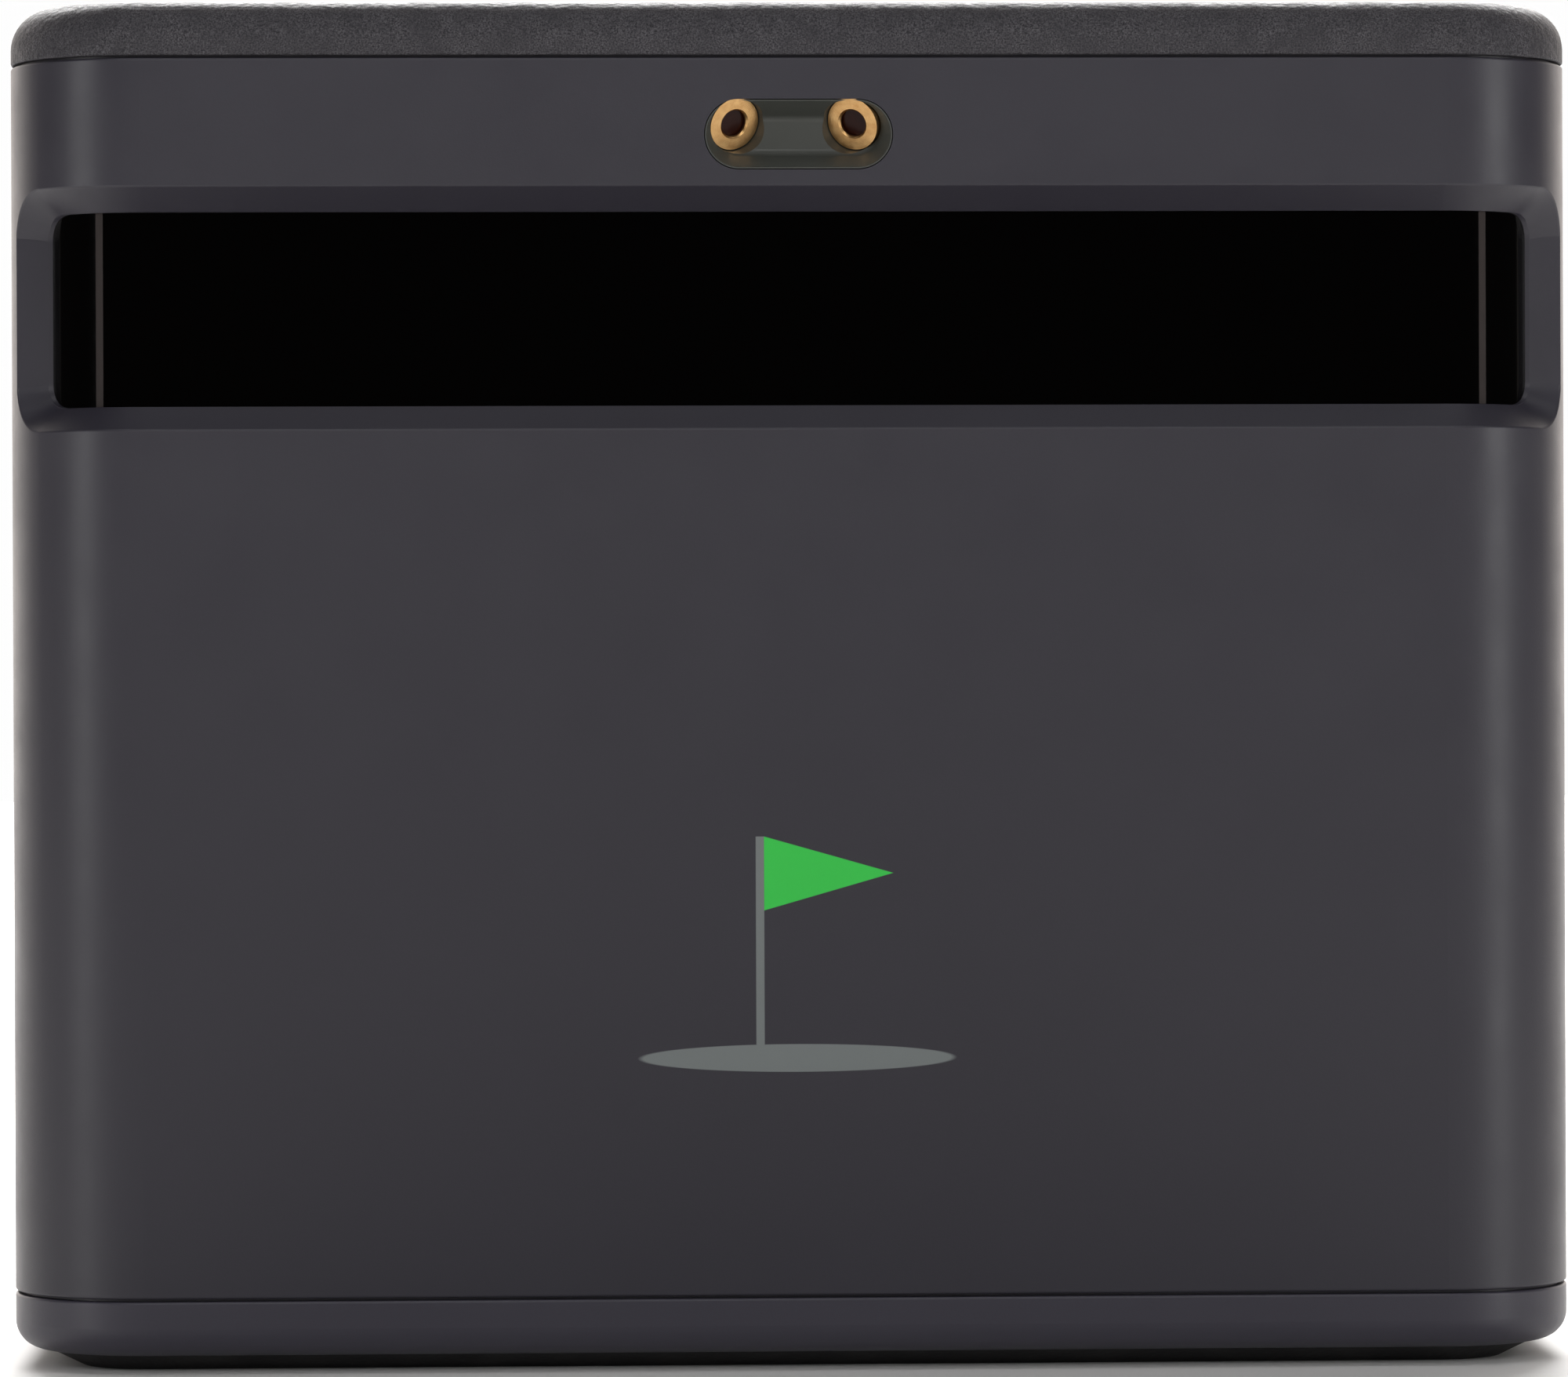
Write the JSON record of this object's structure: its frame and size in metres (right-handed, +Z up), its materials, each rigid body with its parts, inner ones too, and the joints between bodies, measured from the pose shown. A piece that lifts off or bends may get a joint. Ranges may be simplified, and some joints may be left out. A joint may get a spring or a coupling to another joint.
{
  "type": "launch monitor",
  "caption": "Free-standing golf launch monitor: rounded charcoal box with a long smoked camera window and a pair of brass aiming lasers.",
  "frame": {"origin": "middle of the underside of the sole, which stands on the ground", "axes": "+Z up, the front with the window faces -Y, +X is to the right of a person looking at the front"},
  "size_m": [0.1714, 0.07, 0.1488],
  "materials": {
    "housing": "fine satin moulded plastic, charcoal",
    "grained": "leather-grained moulded plastic, charcoal",
    "sole": "matt",
    "smoked": "polished, blocks visible light",
    "divider": "satin",
    "foam": "closed-cell foam",
    "black_plastic": "matt black moulding",
    "bezel": "satin moulding, grey-green",
    "brass": "turned",
    "lens": "polished",
    "metal_can": "plated",
    "alloy": "machined",
    "screw_steel": "blackened",
    "bright_steel": "plated",
    "board": "solder-masked laminate",
    "chip": "moulded epoxy",
    "led": "clear dome",
    "reflector": "vacuum-metallised",
    "cell_wrap": "shrink film",
    "capacitor": "sleeved can",
    "ribbon": "polyimide film",
    "button": "satin moulding",
    "clear": "clear moulding",
    "port_metal": "nickel plated"
  },
  "bodies": {
    "casing": {"front_housing": "housing", "rear_housing": "housing", "top_cover": "grained", "base_cover": "housing", "sole": "sole", "cover_screws": "screw_steel", "rear_screws": "screw_steel", "centre_window": "smoked", "left_window": "smoked", "right_window": "smoked", "window_dividers": "divider", "window_gasket": "foam", "window_clamp": "black_plastic", "window_screws": "screw_steel", "laser_bezel": "bezel", "laser_barrel_left": "brass", "laser_barrel_right": "brass", "laser_lenses": "lens", "laser_diodes": "metal_can", "laser_block": "alloy", "laser_board": "board", "chassis": "alloy", "chassis_screws": "bright_steel", "rear_spacers": "brass", "camera_bodies": "black_plastic", "camera_lens_barrels": "black_plastic", "camera_front_glass": "lens", "sensor_boards": "board", "image_sensors": "chip", "camera_cables": "ribbon", "board_screws": "bright_steel", "strobe_boards": "board", "strobe_leds": "led", "strobe_reflectors": "reflector", "strobe_heat_spreader": "alloy", "light_baffles": "black_plastic", "strobe_driver_board": "board", "strobe_capacitors": "capacitor", "board_pillars": "brass", "main_board": "board", "processor": "chip", "heat_sink": "alloy", "memory_chips": "chip", "board_connectors": "clear", "wireless_module": "metal_can", "wireless_antenna": "ribbon", "battery_cells": "cell_wrap", "battery_tray": "black_plastic", "battery_strap": "bright_steel", "port_board": "board", "status_leds": "led", "light_pipes": "clear", "usb_shell": "port_metal", "usb_tongue": "chip", "switch_cases": "chip"},
    "power_key": {"power_button": "button", "power_plunger": "clear"},
    "mode_key": {"mode_button": "button", "mode_plunger": "clear"}
  },
  "joints": [
    {"name": "power_press", "type": "slide", "parent": "casing", "child": "power_key", "axis": [0, -1, 0], "range_m": [0, 0.0008], "stiffness_N_per_m": 800},
    {"name": "mode_press", "type": "slide", "parent": "casing", "child": "mode_key", "axis": [0, -1, 0], "range_m": [0, 0.0008], "stiffness_N_per_m": 800}
  ]
}
